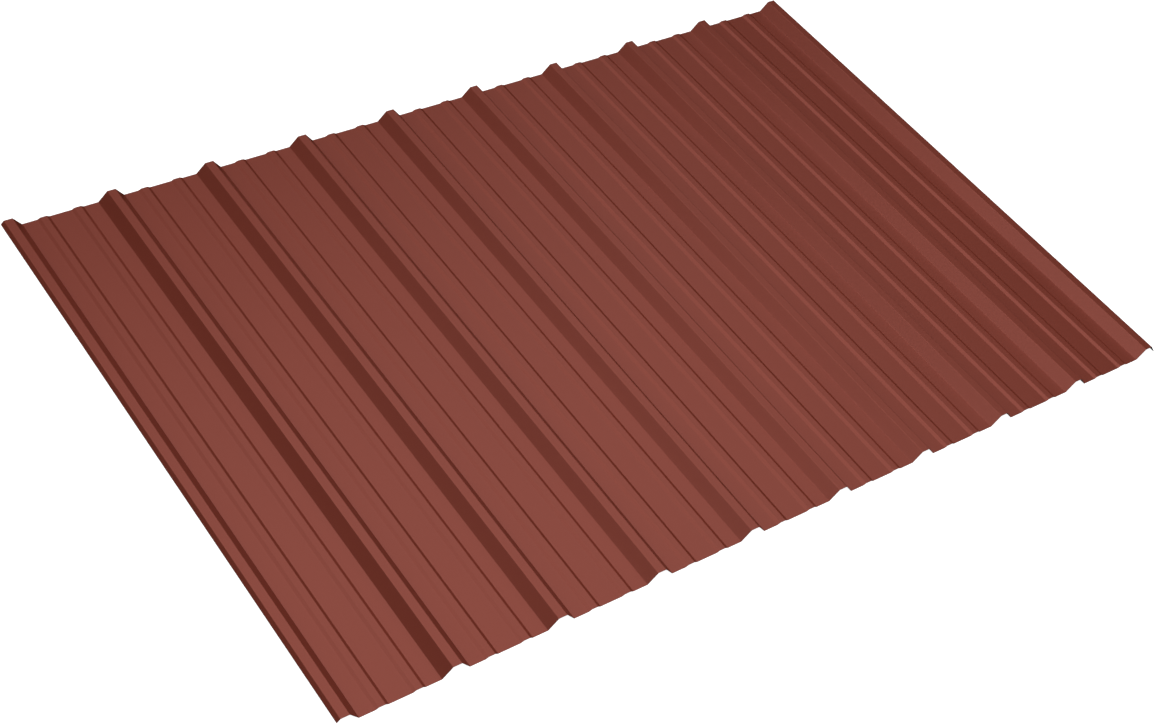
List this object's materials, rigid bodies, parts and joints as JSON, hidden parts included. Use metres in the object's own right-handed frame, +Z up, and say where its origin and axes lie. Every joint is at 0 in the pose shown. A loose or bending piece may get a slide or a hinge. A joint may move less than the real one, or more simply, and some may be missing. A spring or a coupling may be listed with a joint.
{
  "type": "ribbed metal roof panel",
  "caption": "Wide sheet of painted steel roofing with high trapezoidal ribs, low ribs in the pans between them, a short overlap leg and a full underlap leg.",
  "frame": {"origin": "under the middle of the sheet, on the plane that the pans rest on", "axes": "+X runs across the ribs, from the overlap edge to the underlap edge; +Y runs along the ribs; +Z points up, out of the weather side"},
  "size_m": [2.8046, 1.8288, 0.0322],
  "materials": {
    "red_paint": "semi-gloss barn red coil coating on the weather side, grey backer coat underneath"
  },
  "bodies": {
    "root": {"roof_sheet": "red_paint"}
  },
  "joints": []
}
